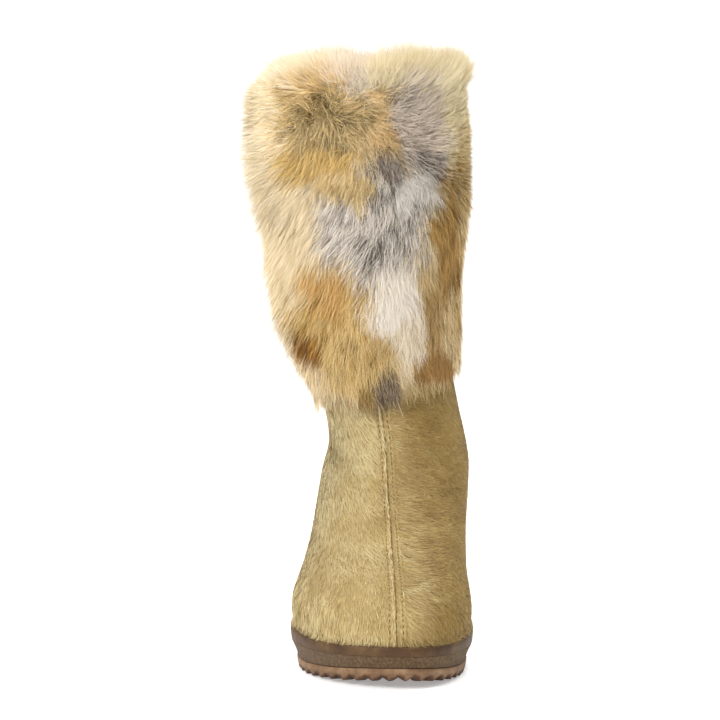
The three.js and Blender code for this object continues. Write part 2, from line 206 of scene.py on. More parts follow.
def upperFace(s, t):
    s, t = np.broadcast_arrays(np.asarray(s, float), np.asarray(t, float))
    ring = {key: smoothColumn(column, t) for key, column in lastShape["rings"].items()}
    first = {key: column[0] for key, column in lastShape["rings"].items()}
    p = outlinePoint(s)
    footU = (p[..., 1] - first["frontY"]) / (first["backY"] - first["frontY"])
    axis = mix(first["frontX"], lastShape["heelX"], footU)
    aside = p[..., 0] - axis
    footV = np.where(aside > 0, aside / (first["medial"] - axis), aside / (axis - first["lateral"]))
    u = mix(footU, (1 - np.cos(2 * np.pi * s)) / 2, ring["oval"])
    v = mix(footV, np.sin(2 * np.pi * s), ring["oval"])
    y = mix(ring["frontY"], ring["backY"], u)
    axis = mix(ring["frontX"], lastShape["heelX"] + ring["frontX"] * 0.5 * ring["oval"], u)
    x = axis + v * np.where(v > 0, ring["medial"] - axis, axis - ring["lateral"])
    seat = [alongSole("seat", place) for place in (y, ring["frontY"], ring["backY"])]
    z = mix(ring["frontZ"], ring["backZ"], u) + (1 - ring["oval"]) * (seat[0] - mix(seat[1], seat[2], u))
    return np.stack([x, y, z], -1)


def upperFrame(s, t):
    # round the leg and outward, as unit vectors, with the millimetres for a step in s and t
    around = (upperFace(s + turnStep, t) - upperFace(s - turnStep, t)) / (2 * turnStep)
    low, high = np.maximum(t - ringStep, 0), np.minimum(t + ringStep, lastRing)
    upward = (upperFace(s, high) - upperFace(s, low)) / (high - low)[..., None]
    outward = unit(np.cross(around, upward))
    return unit(around), outward, np.linalg.norm(around, axis=-1), np.linalg.norm(upward, axis=-1)


def noise(points, size, seed):
    # smooth noise from 0 to 1 with features of a given size in mm
    q = points / size + seed * 17.31
    cell = np.floor(q).astype(np.int64)
    f = q - cell
    f = f * f * (3 - 2 * f)
    total = 0
    for corner in range(8):
        bits = np.array([corner & 1, corner >> 1 & 1, corner >> 2 & 1])
        c = cell + bits
        h = c[..., 0] * 374761393 + c[..., 1] * 668265263 + c[..., 2] * 2147483647 + seed * 144665
        h = h & 0xFFFFFFFF
        h = ((h ^ (h >> 13)) * 1274126177) & 0xFFFFFFFF
        weight = np.prod(np.where(bits, f, 1 - f), axis=-1)
        total = total + weight * ((h ^ (h >> 16)) & 0xFFFF) / 65535
    return total


def sway(points, size, seed, span):
    return (noise(points, size, seed) - 0.5) * span


# Meshes

def gridFaces(rows, columns, closeRows=False, closeColumns=True, start=0):
    r = np.arange(rows if closeRows else rows - 1)[:, None]
    c = np.arange(columns if closeColumns else columns - 1)[None, :]
    low, high = r * columns, (r + 1) % rows * columns
    nextC = (c + 1) % columns
    return np.stack([low + c, low + nextC, high + nextC, high + c], -1).reshape(-1, 4) + start


def capFaces(count, start, facingUp):
    # rungs across a ring whose places run evenly down both sides
    half = count // 2
    i = np.arange(1, half - 1)
    rungs = np.stack([i, i + 1, count - i - 1, count - i], -1)
    ends = np.array([[0, 1, count - 1, count - 1], [half - 1, half, half + 1, half + 1]])
    faces = np.concatenate((rungs, ends)) + start
    return faces if facingUp else faces[:, ::-1]


def addPiece(name, data):
    piece = bpy.data.objects.new(name, data)
    bpy.context.scene.collection.objects.link(piece)
    return piece


def makeMesh(name, points, faces, materials):
    mesh = bpy.data.meshes.new(name)
    clean = [[v for i, v in enumerate(face) if v != face[i - 1]] for face in np.asarray(faces).tolist()]
    mesh.from_pydata(((points + frameShift) / 1000).tolist(), [], clean)
    for material in materials:
        mesh.materials.append(material)
    mesh.polygons.foreach_set("use_smooth", [True] * len(mesh.polygons))
    mesh.update()
    piece = addPiece(name, mesh)
    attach(piece, "root")
    return piece


def paint(piece, name, colours):
    layer = piece.data.color_attributes.new(name, "FLOAT_COLOR", "POINT")
    values = np.ones((len(colours), 4), np.float32)
    values[:, :3] = colours
    layer.data.foreach_set("color", values.ravel())


ribbon = {"taper": 0.55, "cellAcross": (0.12, 0.88), "cellAlong": (0.08, 0.92)}


def makeHairs(name, path, width, side, facing, colours, material):
    # flat tapering hairs as one mesh: path and colours are (hairs, points, 3), the last point is the tip
    hairs, places = path.shape[:2]
    each = 2 * places - 1
    along = np.linspace(0, 1, places)
    half = (width[:, None] * (1 - ribbon["taper"] * along ** 2))[..., None] * side / 2
    body = np.stack([(path - half)[:, :-1], (path + half)[:, :-1]], 2).reshape(hairs, -1, 3)
    points = np.concatenate((body, path[:, -1:]), 1).reshape(-1, 3)
    pattern = []
    for a in range(0, 2 * places - 4, 2):
        pattern += [[a, a + 1, a + 3], [a, a + 3, a + 2]]
    pattern.append([each - 3, each - 2, each - 1])
    faces = (np.arange(hairs)[:, None, None] * each + np.array(pattern)).reshape(-1, 3)
    piece = makeMesh(name, points, faces, [material])
    # each hair has its own cell of the bake's square
    cells = math.ceil(math.sqrt(hairs))
    index = np.arange(hairs)
    cellU = np.concatenate((np.tile(ribbon["cellAcross"], places - 1), [0.5]))
    cellV = mix(*ribbon["cellAlong"], np.concatenate((np.repeat(along[:-1], 2), [1.0])))
    uv = np.stack([(index % cells)[:, None] + cellU, (index // cells)[:, None] + cellV], -1) / cells
    layer = piece.data.uv_layers.new(name="OFBake")
    layer.data.foreach_set("uv", uv.reshape(-1, 2)[faces.ravel()].astype(np.float32).ravel())
    normals, tint = [np.concatenate((np.repeat(values[:, :-1], 2, 1), values[:, -1:]), 1).reshape(-1, 3)
                     for values in (facing, colours)]
    piece.data.normals_split_custom_set_from_vertices(normals.astype(np.float32).tolist())
    paint(piece, "hairColour", tint)
    print(name, hairs, "hairs,", len(faces), "triangles")
    return piece


# Materials

def linear(hexColour):
    values = np.array([int(hexColour[i:i + 2], 16) for i in (1, 3, 5)]) / 255
    return np.where(values <= 0.04045, values / 12.92, ((values + 0.055) / 1.055) ** 2.4)


def rgba(hexColour):
    return (*linear(hexColour).tolist(), 1)


def addNode(material, kind, settings=None, links=None):
    node = material.node_tree.nodes.new("ShaderNode" + kind)
    for key, value in (settings or {}).items():
        if key == "stops":
            ramp = node.color_ramp.elements
            while len(ramp) < len(value):
                ramp.new(0.5)
            for stop, (place, colour) in zip(ramp, value):
                stop.position, stop.color = place, rgba(colour)
        elif key in node.inputs:
            node.inputs[key].default_value = value
        else:
            setattr(node, key, value)
    for key, source in (links or {}).items():
        material.node_tree.links.new(source, node.inputs[key])
    return node


def makeMaterial(name, surface, tint=None, grains=(), stops=None, bump=None):
    # tint is a colour layer of the mesh; a grain has its kind, size in mm, scale up the leg, where less than 1
    # draws it out, and settings; the first grain is coloured by stops; bump has a strength and a depth in mm,
    # and raises the last grain
    material = bpy.data.materials.new(name)
    material.use_nodes = True
    material.node_tree.nodes.clear()
    links, patterns = {}, []
    if tint:
        links["Base Color"] = addNode(material, "VertexColor", {"layer_name": tint}).outputs["Color"]
    for kind, size, upScale, settings in grains:
        place = addNode(material, "TexCoord")
        drawn = addNode(material, "Mapping", {"Scale": (1, 1, upScale)}, {"Vector": place.outputs["Object"]})
        pattern = addNode(material, kind, {"Scale": 1000 / size, **settings}, {"Vector": drawn.outputs["Vector"]})
        patterns.append(pattern.outputs[0])
    if stops:
        colour = addNode(material, "ValToRGB", {"stops": stops}, {"Fac": patterns[0]}).outputs["Color"]
        if tint:
            both = addNode(material, "Mix", {"data_type": "RGBA", "blend_type": "MULTIPLY", "Factor": 1.0},
                           {6: links["Base Color"], 7: colour})
            colour = both.outputs[2]
        links["Base Color"] = colour
    if bump:
        settings = {"Strength": bump[0], "Distance": bump[1] / 1000}
        links["Normal"] = addNode(material, "Bump", settings, {"Height": patterns[-1]}).outputs["Normal"]
    shader = addNode(material, "BsdfPrincipled", surface, links)
    addNode(material, "OutputMaterial", None, {"Surface": shader.outputs["BSDF"]})
    return material


# Long fox-like fur: fine smooth hairs, so a soft low sheen over each hair's own colour
furHair = makeMaterial("dressedFur", {"Roughness": 0.62, "IOR": 1.55, "Specular IOR Level": 0.22}, "hairColour")

# Short calf hair lying flat: silkier than the long fur, with a narrow gloss along the coat
calfHair = makeMaterial("calfHairCoat", {"Roughness": 0.5, "IOR": 1.55, "Specular IOR Level": 0.2}, "hairColour")

# Tanned pelt under the long fur: matt, seen only between the locks; its colour is the fur's, darkened as painted
# shade deep in the pile
pelt = makeMaterial(
    "tannedPelt", {"Roughness": 0.95, "Specular IOR Level": 0.1}, "peltColour",
    [("TexNoise", 1.2, 1, {"Detail": 4})], bump=(0.6, 1))

# Calf hide under the short coat: matt, streaked along the leg, darker in the sunk stitch lines, with painted shade
# along the seam line and under the heel counter
hide = makeMaterial(
    "hairOnCalfHide", {"Roughness": 0.8, "Specular IOR Level": 0.2}, "hideColour",
    [("TexNoise", 0.9, 0.18, {"Detail": 5, "Roughness": 0.6})],
    [(0.3, "#b0a08a"), (0.7, "#ffffff")], (0.5, 0.6))

# Sheared fleece lining: cream, matt and curly
fleece = makeMaterial(
    "shearedFleece",
    {"Roughness": 0.95, "Specular IOR Level": 0.1, "Sheen Weight": 0.3, "Sheen Roughness": 0.5}, None,
    [("TexNoise", 3.5, 1, {"Detail": 5, "Distortion": 1.2})],
    [(0.3, "#b9a784"), (0.65, "#e6dabb")], (1.0, 2.5))

# Smooth drum-dyed leather: dark brown, cloudy, low sheen; its pores are drawn coarser than real ones, to show
leather = makeMaterial(
    "drumDyedLeather", {"Roughness": 0.6, "IOR": 1.5, "Specular IOR Level": 0.25}, None,
    [("TexNoise", 14, 1, {"Detail": 4, "Roughness": 0.6}), ("TexVoronoi", 0.7, 1, {})],
    [(0.3, "#3a2714"), (0.55, "#4d361d"), (0.75, "#62492b")], (0.35, 0.3))

# Napped split leather round the wedge: mid brown and matt, with brushed streaks and specks
suede = makeMaterial(
    "nappedSplitLeather",
    {"Roughness": 0.95, "Specular IOR Level": 0.12, "Sheen Weight": 0.08, "Sheen Roughness": 0.6}, None,
    [("TexNoise", 1.4, 0.4, {"Detail": 6, "Roughness": 0.7})],
    [(0.3, "#3b2c1d"), (0.5, "#54402a"), (0.7, "#6f5a3e")], (0.8, 0.8))

# Moulded crepe-coloured rubber: tan brown, matt and gritty, with painted shade on the lugs' tips, on one side of
# each lug and low on the plate
rubber = makeMaterial(
    "mouldedRubber", {"Roughness": 0.72, "IOR": 1.52, "Specular IOR Level": 0.3}, "treadSoil",
    [("TexNoise", 9, 1, {"Detail": 6, "Roughness": 0.65}), ("TexNoise", 0.8, 1, {"Detail": 4})],
    [(0.3, "#60452f"), (0.5, "#7d6045"), (0.7, "#93775a")], (0.4, 0.5))

# Pressed wool felt: cream, matt, with fibres about a millimetre apart
felt = makeMaterial(
    "pressedWoolFelt", {"Roughness": 0.95, "Specular IOR Level": 0.1, "Sheen Weight": 0.2}, None,
    [("TexNoise", 1, 1, {"Detail": 6, "Roughness": 0.7})],
    [(0.3, "#b7a98b"), (0.7, "#d9ccb0")], (0.7, 0.7))

# Waxed sewing thread: olive brown, sunk in the coat; its dark colour is partly painted shade of the stitch holes,
# so that it reads as dark dashes
thread = makeMaterial(
    "waxedThread", {"Roughness": 0.6, "Specular IOR Level": 0.25}, None,
    [("TexNoise", 0.6, 1, {"Detail": 3})], [(0.3, "#4e4028"), (0.7, "#786542")])
print("materials made")


# Sole

ringCount = 280
ringTurns = np.arange(ringCount) / ringCount


def sweep(profile, capped):
    # profile rows are (outset, height of y) from the bottom up on the outside
    rings = [edgePoint(ringTurns, outset, height) for outset, height in profile]
    faces = [gridFaces(len(rings), ringCount, closeRows=not capped)]
    if capped:
        faces += [capFaces(ringCount, 0, False), capFaces(ringCount, (len(rings) - 1) * ringCount, True)]
    return np.concatenate(rings), np.concatenate(faces)


def soleHeight(lift, **shares):
    # height over y: a lift in mm above shares of the sole's columns
    return lambda y: sum(alongSole(key, y) * share for key, share in shares.items()) + lift


midsoleShape = {
    "outsoleThick": 7.3,
    # share of the wall's height, and how far it stands out
    "wall": [(0, -2.5), (0.03, -2.2), (0.2, -1.75), (0.4, -1.05), (0.6, -0.2), (0.78, 0.65),
             (0.9, 1.2), (0.97, 1.4), (1, 1.35)],
}
midsoleProfile = [(outset, soleHeight((1 - share) * midsoleShape["outsoleThick"], tread=1 - share, seat=share))
                  for share, outset in midsoleShape["wall"]]
wedge = makeMesh("wedgeMidsole", *sweep(midsoleProfile, True), [suede])
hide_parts("midsole")

randShape = {
    "gap": 0.3, "thick": 1.5,
    # face, from the bottom up: outset from the face, share of the height, and drop in mm
    "face": [(-0.45, 0, 0.25), (-0.3, 0, 0), (0.05, 0.5, 0), (0.1, 1, 0.7), (-0.25, 1, 0.28), (-0.7, 1, 0)],
    "back": [(1, 0), (0, 0.25)],  # share of the height and drop, from the top down
}


def randHeight(share, drop=0):
    return soleHeight(randShape["gap"] - drop, seat=1, rand=share)


randFace = randShape["gap"] + randShape["thick"]
randProfile = [(randFace + outset, randHeight(share, drop)) for outset, share, drop in randShape["face"]]
randProfile += [(randShape["gap"], randHeight(share, drop)) for share, drop in randShape["back"]]
randBand = makeMesh("randBand", *sweep(randProfile, False), [leather])
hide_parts("rand")

insoleShape = {
    "inset": 2.7, "gap": 0.3,
    # further inset and height, from the bottom up and in to the dished middle
    "profile": [(0.3, 0), (0, 0.4), (0, 3.5), (0.5, 4), (9, 2.8), (16, 2.8)],
}
insoleProfile = [(-insoleShape["inset"] - inset, soleHeight(insoleShape["gap"] + lift, seat=1))
                 for inset, lift in insoleShape["profile"]]
footbed = makeMesh("feltFootbed", *sweep(insoleProfile, True), [felt])
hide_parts("insole")

outsoleShape = {
    "plate": [(-2.6, 3), (-2.2, 3.4), (-2, 4.6), (-1.85, 6.5), (-2.1, 7)],  # outset and height of its wall
    "lugHeight": 3, "lugBury": 0.6, "pitch": 10.2, "lugWidth": 10, "lugFlat": 0.8, "lugDepth": 10,
    "lugOutset": -2.3, "lugInset": 1.3,
    # walls of a lug: share of its height downwards, and share of the inset at its tip
    "lugOuter": [(0, 0), (0.55, 0.25), (0.93, 0.7), (1, 1)], "lugInner": [(1, 1), (0.6, 0.3), (0, 0)],
    "barWidth": 9, "barFlat": 6, "barReach": 0.5, "barInset": 1.5,
    "barPlaces": (-92, -75, -58, -41, 56, 73, 90, 107),
    "paintedShade": "#8f7460",  # colour of the painted shade on the lugs' tips and sides
    # painted shade: its share on the plate wall's rows from the bottom, at the lugs' tips and on one side of each
    # lug
    "plateShade": (0.6, 0.25, 0, 0, 0), "tipShade": 0.9, "sideShade": 0.5,
}


def makeLug(centre, along, outward, width, flat, reachOut, reachIn, inset):
    # one rounded lug with its open top inside the plate: rows from the outer wall over the tread to the inner wall
    shape = outsoleShape
    across = np.linspace(-1, 1, 11)
    drop = 1 - np.clip((np.abs(across) - flat / width) / (1 - flat / width), 0, 1)
    walls = [(share, reachOut - inset * draft) for share, draft in shape["lugOuter"]]
    walls += [(share, reachIn + inset * draft) for share, draft in shape["lugInner"]]
    rows, lugShade = [], []
    for share, place in walls:
        flatPoint = centre + along * (across * width / 2)[:, None] + outward * place
        level = shape["lugHeight"] * (1 - drop * share) + shape["lugBury"] * (1 - np.minimum(share * 3, 1))
        rows.append(np.column_stack([flatPoint, alongSole("tread", flatPoint[:, 1]) + level]))
        # painted shade: darker towards the lug's tip and on one side of it
        lugShade.append(np.clip(share * shape["tipShade"] + shape["sideShade"] * (across < -0.1), 0, 1))
    faces = gridFaces(len(rows), len(across), closeColumns=False)[:, ::-1]
    return np.concatenate(rows), faces, np.concatenate(lugShade)


def makeOutsole():
    shape = outsoleShape
    plate = sweep([(outset, soleHeight(lift, tread=1)) for outset, lift in shape["plate"]], True)
    lugs = [(*plate, np.repeat(shape["plateShade"], ringCount))]
    count = round((medialPath[2] + lateralPath[2]) / shape["pitch"])
    turns = (np.arange(count) + 0.5) / count
    for centre, along in zip(outlinePoint(turns), edgeRun(turns)):
        lugs.append(makeLug(centre, along, np.array([along[1], -along[0]]), shape["lugWidth"], shape["lugFlat"],
                            shape["lugOutset"], shape["lugOutset"] - shape["lugDepth"], shape["lugInset"]))
    for y in shape["barPlaces"]:
        medial, lateral = [np.interp(y, path[0][:, 1], path[0][:, 0]) for path in (medialPath, lateralPath)]
        reach = (medial - lateral) / 2 * shape["barReach"]
        lugs.append(makeLug(np.array([(medial + lateral) / 2, y]), np.array([0, -1.0]), np.array([-1.0, 0]),
                            shape["barWidth"], shape["barFlat"], reach, -reach, shape["barInset"]))
    points, faces, paintedShade = zip(*lugs)
    starts = np.cumsum([0] + [len(p) for p in points[:-1]])
    faces = np.concatenate([f + start for f, start in zip(faces, starts)])
    piece = makeMesh("luggedOutsole", np.concatenate(points), faces, [rubber])
    paint(piece, "treadSoil", mix(np.ones(3), linear(shape["paintedShade"]), np.concatenate(paintedShade)[:, None]))
    return piece


outsole = makeOutsole()
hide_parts("outsole")
print("sole made")


# Upper

upperShape = {
    "wall": 2.4, "rollRise": 0.9,
    "seamRise": 0.6, "seamMargin": 1, "seamEase": 1.2, "seamTop": 8.4, "seamEnd": 0.3,
    "lineDepth": 0.5, "lineWidth": 0.45, "linePaintedShade": 0.4, "rowDepth": 0.3, "rowWidth": 0.55,
    "fullness": 0.6, "fullRing": 1.6,
    "rowAside": (3.6, 2.7),  # stitch rows from the seam, at toe and ankle
    "hide": "#b39c68", "seamShadeColour": "#5b4a2c", "edgeDark": "#3a2714", "edgeFrontShare": 0.3,
    # soft creases: turn and ring at each end, width and depth in mm
    "creases": [
        (0.02, 6.35, 0.17, 6.75, 5, 1.1),
        (0.03, 5.45, 0.15, 5.7, 5.5, 0.9),
        (-0.19, 7.0, -0.03, 6.3, 6, 1.0),
        (0.05, 7.3, 0.2, 7.6, 6, 0.9),
        (-0.16, 4.3, -0.05, 4.5, 8, 0.7),
        (0.33, 6.6, 0.67, 6.6, 6, 1.0),
    ],
    "creaseSpan": (300, 20),  # mm for a whole turn and for a ring
    # turns of the mesh's lines beside the seam
    "seamLines": (0.0008, 0.0016, 0.0026, 0.0038, 0.005, 0.0062, 0.0074, 0.0086, 0.01, 0.0115, 0.0132, 0.0155,
                  0.019, 0.024),
}


def seamAside(s, t):
    # signed distance from the front seam round the ring, in mm
    turn = signedTurn(s)
    near = upperFace(s, t) - upperFace(0 * turn, t)
    return np.sign(turn) * np.linalg.norm(near, axis=-1)


def stitchAside(t):
    return mix(*upperShape["rowAside"], smoothStep(1, 7, t))


def seamRelief(s, t):
    # the seam's raised band with its grooves, and the painted shade along its line
    shape = upperShape
    aside = np.abs(seamAside(s, t))
    held = 1 - smoothStep(shape["seamTop"] - shape["seamEnd"], shape["seamTop"], t)
    half = stitchAside(t) + shape["seamMargin"]
    band = shape["seamRise"] * (1 - smoothStep(half, half + shape["seamEase"], aside))
    line = shape["lineDepth"] * bell(aside, shape["lineWidth"])
    row = shape["rowDepth"] * bell(aside - stitchAside(t), shape["rowWidth"])
    return held * (band - line - row), held * bell(aside, shape["linePaintedShade"])


def creaseRelief(s, t):
    turn = signedTurn(s)
    total = 0 * turn
    for *ends, width, depth in upperShape["creases"]:
        place = np.where((turn < 0) & (ends[2] > 0.5), turn + 1, turn)
        share, away = nearLine(place, t, ends, upperShape["creaseSpan"])
        away = away / width
        fade = np.sin(np.pi * mix(0.1, 0.9, share))
        total = total + depth * fade * (0.45 * bell(away - 1.6, 0.8) - bell(away, 1))
    return total


def skinPoint(s, t, lift):
    s, t = np.broadcast_arrays(np.asarray(s, float), np.asarray(t, float))
    face = upperFace(s, t)
    # the hide swells a little over the rand, except under the heel counter
    full = upperShape["fullness"] * bell(t - upperShape["fullRing"], 0.5) * (1 - smoothStep(-20, 25, face[..., 1]))
    relief = seamRelief(s, t)[0] + creaseRelief(s, t) + full * smoothStep(0.9, 1.25, t)
    return face + upperFrame(s, t)[1] * (relief + lift)[..., None]


def makeUpper():
    medial = np.concatenate((upperShape["seamLines"], np.linspace(0.03, 0.5, 80)[:-1]))
    turns = np.concatenate(([0], medial, [0.5], 1 - medial[::-1]))
    rings = np.concatenate((np.linspace(0, 8.6, 110), np.linspace(8.7, lastRing, 26)))
    s, t = np.meshgrid(turns, rings)
    outerFace = skinPoint(s, t, 0 * s)
    innerFace = upperFace(s, t) - upperFrame(s, t)[1] * upperShape["wall"]
    innerFace[0, :, 2] = outerFace[0, :, 2]
    rollTop = (outerFace[-1] + innerFace[-1]) / 2 + np.array([0, 0, upperShape["rollRise"]])
    points = np.concatenate((outerFace, rollTop[None], innerFace[::-1]))
    rows, columns = points.shape[:2]
    faces = gridFaces(rows, columns, closeRows=True)
    shell = makeMesh("calfUpper", points.reshape(-1, 3), faces, [hide, fleece])
    lining = np.arange(len(faces)) >= len(rings) * columns
    lining[-columns:] = False
    shell.data.polygons.foreach_set("material_index", lining.astype(np.int32))
    # hide colour: mottled, with painted shade along the seam line
    seamPaintedShade = seamRelief(s, t)[1]
    base = linear(upperShape["hide"]) * (0.75 + 0.4 * noise(outerFace, 16, 3))[..., None]
    base = mix(base, linear(upperShape["seamShadeColour"]), np.clip(seamPaintedShade, 0, 1)[..., None] * 0.9)
    # the raw edge at the rand is darker, and under the heel counter it is fully dark as painted shade
    edgeDarkening = mix(upperShape["edgeFrontShare"], 1, smoothStep(30, 36, outerFace[..., 1])) * smoothStep(1.34, 1.1, t)
    base = mix(base, linear(upperShape["edgeDark"]), edgeDarkening[..., None])
    whole = np.ones((rows, columns, 3)) * linear(upperShape["hide"])
    whole[:len(rings)] = base
    paint(shell, "hideColour", whole.reshape(-1, 3))
    return shell


upper = makeUpper()
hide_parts("upper")
print("upper made")


# Stitches

stitchShape = {
    "pitch": 3.4, "length": 1.9, "width": 0.7, "height": 0.55, "margin": 1.5,
    "arch": 0.12, "sink": 0.1, "sunk": (0.0, 0.3),
    "swell": [(0, 0.2), (0.16, 0.85), (0.5, 1), (0.84, 0.85), (1, 0.2)],  # place along it and thickness there
}


def makeStitches(name, paths):
    # paths: (points, outward) along each row; one rounded bar of five six-sided rings for each stitch
    shape = stitchShape
    points, faces, start = [], [], 0
    ringAngles = np.arange(6) / 6 * 2 * np.pi
    for line, outward in paths:
        length = runLength(line)
        for at in np.arange(shape["margin"], length[-1] - shape["margin"], shape["pitch"]):
            tail, middle, head = [rowsAt(at + d * shape["length"], length, line) for d in (-0.5, 0, 0.5)]
            up = unit(rowsAt(at, length, outward))
            side = np.cross(unit(head - tail), up)
            deep = shape["sink"] + mix(*shape["sunk"], noise(middle, 9, 61) * noise(middle, 2.5, 62) * 1.6)
            for share, swell in shape["swell"]:
                centre = mix(tail, head, share) + up * (shape["arch"] * math.sin(math.pi * share) - deep)
                points.append(centre + np.cos(ringAngles)[:, None] * side * shape["width"] / 2 * swell
                              + np.sin(ringAngles)[:, None] * up * shape["height"] / 2 * swell)
            faces.append(gridFaces(5, 6, start=start))
            faces.append(np.array([[3, 2, 1, 0], [5, 4, 3, 0], [24, 25, 26, 27], [24, 27, 28, 29]]) + start)
            start += 30
    return makeMesh(name, np.concatenate(points), np.concatenate(faces), [thread])


def seamRow(sign):
    t = np.linspace(1.12, 8.2, 240)
    s = sign * stitchAside(t) / upperFrame(0 * t, t)[2]
    for _ in range(3):
        s = s * stitchAside(t) / np.maximum(np.abs(seamAside(s, t)), 1e-6)
    return skinPoint(s, t, 0 * t + 0.2), upperFrame(s, t)[1]


seamStitches = makeStitches("seamStitches", [seamRow(1), seamRow(-1)])


# Heel counter

counterShape = {
    "gap": 0.3, "thick": 1.4, "edgeThin": 0.55, "lowRing": 1.06, "highRing": 7.0,
    # side outline: y and height of the top edge
    "edge": [(34, 0), (43, 66), (46.6, 77.5), (52, 86.5), (59, 92.9), (67.6, 96.7), (78, 98), (110, 100.6),
             (140, 103)],
    "stitchInset": 0.16,  # in rings
}


def counterTop(s):
    edge = np.array(counterShape["edge"])
    low, high = 0 * s + counterShape["lowRing"], 0 * s + counterShape["highRing"]
    for _ in range(30):
        middle = (low + high) / 2
        p = upperFace(s, middle)
        over = p[..., 2] > np.interp(p[..., 1], edge[:, 0], edge[:, 1])
        high, low = np.where(over, middle, high), np.where(over, low, middle)
    return low


def makeCounter():
    shape = counterShape
    s = np.linspace(0.2, 0.8, 721)
    covered = s[counterTop(s) - shape["lowRing"] > 0.05]
    s = np.linspace(covered[0], covered[-1], 150)
    top = counterTop(s)
    shares = np.linspace(0, 1, 22)[:, None]
    t = mix(shape["lowRing"], top[None], shares)
    sGrid = np.broadcast_to(s, t.shape)
    base, outward = upperFace(sGrid, t), upperFrame(sGrid, t)[1]
    lift = shape["gap"] + shape["thick"] * np.minimum(1, shape["edgeThin"] + 6 * (1 - shares)) + 0 * t
    grid = np.concatenate((base + outward * lift[..., None], (base + outward * shape["gap"])[::-1]))
    rows, columns = grid.shape[:2]
    faces = [gridFaces(rows, columns, closeRows=True, closeColumns=False)]
    k = np.arange(rows // 2 - 1)
    for column, flip in ((0, True), (columns - 1, False)):
        side = np.stack([k, k + 1, rows - 2 - k, rows - 1 - k], -1) * columns + column
        faces.append(side[:, ::-1] if flip else side)
    piece = makeMesh("heelCounter", grid.reshape(-1, 3), np.concatenate(faces), [leather])
    inside = np.clip((top - shape["lowRing"]) - shape["stitchInset"], 0.05, None) + shape["lowRing"]
    out = upperFrame(s, inside)[1]
    return piece, (upperFace(s, inside) + out * (shape["gap"] + shape["thick"] + 0.15), out)


counter, counterRow = makeCounter()
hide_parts("heel_counter")
counterStitches = makeStitches("counterStitches", [counterRow])
print("counter and stitches made")


# Short coat of the foot

coat = {
    "hairs": 76000, "length": (4, 7.4), "width": 0.3, "loft": (0.12, 0.45), "seed": 21,
    "rings": (1.02, 9.0),  # lowest and highest roots
    "wave": ((24, 5, 26), (7, 6, 15)), "spread": 9,  # size in mm, seed and degrees; degrees between neighbours
    "seamLean": 0.25, "seamLength": 0.6,  # what the seam's band leaves of a hair's lean and length
    "thinned": 0.55,  # share of hairs left off the seam line and the stitch rows
    "overRand": 0.3, "randClear": 2.15,  # share of hairs that hang over the rand, and their lift there
    "dark": "#987e4a", "middle": "#b49b65", "light": "#cebd8e", "tip": "#d7caa0",
    "medialPaintedShade": (0.63, 0.53, 0.29), "rootShade": 0.87, "tipShare": 0.3,
    # degrees from straight down by ring, and their share by turn from the seam
    "lateralLean": ((1, 2, 4, 6, 8, 9), (2, 6, 16, 28, 34, 34)), "lateralFade": ((0, 0.16, 0.26), (1, 0.75, 0)),
    "medialLean": ((1, 1.8, 3, 4.5, 6, 9), (26, 46, 62, 68, 72, 72)),
    "medialFade": ((0, 0.02, 0.2, 0.36), (0.5, 1, 0.9, 0)),
    # paler strokes in the coat: turn and ring at each end, width in mm, strength
    "strokes": [(0.008, 2.9, 0.035, 3.12, 1.5, 0.7), (0.04, 2.62, 0.075, 2.66, 1.4, 0.6),
                (0.05, 4.9, 0.11, 4.8, 1.6, 0.4)],
    "strokeSpan": (500, 16),  # mm for a whole turn and for a ring
}


def coatFlow(s, t, points):
    # angle from straight down towards the medial side, in degrees
    turn = signedTurn(s)
    lateral = np.interp(t, *coat["lateralLean"]) * np.interp(-turn, *coat["lateralFade"])
    medial = np.interp(t, *coat["medialLean"]) * np.interp(turn, *coat["medialFade"])
    return np.where(turn < 0, lateral, medial) + sum(sway(points, *row) for row in coat["wave"])


def coatShade(rng, s, t, root, aside):
    # 0 is dark and 1 is light, with each hair a little off its neighbours
    turn = signedTurn(s)
    shade = 0.6 * noise(root, 15, 11) + 0.4 * noise(root, 3.2, 12)
    shade = np.clip((shade - 0.5) * 0.9 + 0.5 + rng.normal(0, 0.16, len(s)), 0, 1)
    # painted highlight on the seam's ridge, and painted shadow on its other side
    shade = shade + (0.5 * bell(aside + 1.4, 0.9) - 0.55 * bell(aside - 0.8, 0.5))
    # paler over the outer side, most of all at the ankle and the toe, and painted light along the outline
    palerAndPaintedLight = 0.34 * smoothStep(4.4, 6.4, t) + 0.14 * smoothStep(3, 1.8, t) + 0.3 * smoothStep(-0.08, -0.2, turn)
    shade = np.clip(shade + palerAndPaintedLight * smoothStep(0.02, -0.08, turn), 0, 1)
    for *ends, broad, strength in coat["strokes"]:
        away = nearLine(turn, t, ends, coat["strokeSpan"])[1]
        shade = np.clip(shade + strength * bell(away, broad), 0, 1.15)
    return shade[:, None]


